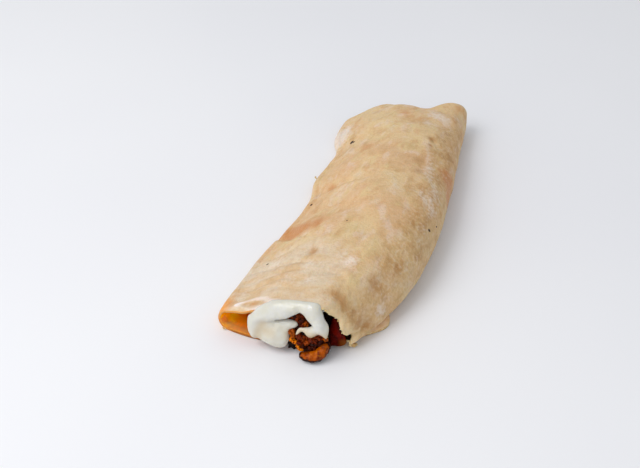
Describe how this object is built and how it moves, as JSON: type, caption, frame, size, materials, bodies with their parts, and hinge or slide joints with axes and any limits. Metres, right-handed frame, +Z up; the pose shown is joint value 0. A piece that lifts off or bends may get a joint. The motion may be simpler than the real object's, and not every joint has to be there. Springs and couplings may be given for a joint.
{
  "type": "paratha roll",
  "caption": "Stuffed flatbread roll lying on its seam: one wound sheet of paratha, tucked shut at the far end, open at the mouth where white sauce and spiced filling spill out.",
  "frame": {"origin": "middle of the underside's box, on the surface that the roll lies on", "axes": "+Y along the roll from the open mouth to the closed far end, +X to the right seen from the mouth, +Z up"},
  "size_m": [0.0812, 0.2168, 0.0311],
  "materials": {
    "flatbread": "matt, floury in patches and lightly oiled",
    "spiced_filling": "moist and rough",
    "white_sauce": "smooth and glossy",
    "orange_chunk": "oily"
  },
  "bodies": {
    "root": {"paratha": "flatbread", "filling": "spiced_filling", "sauce": "white_sauce", "fallen_chunk": "orange_chunk"}
  },
  "joints": []
}
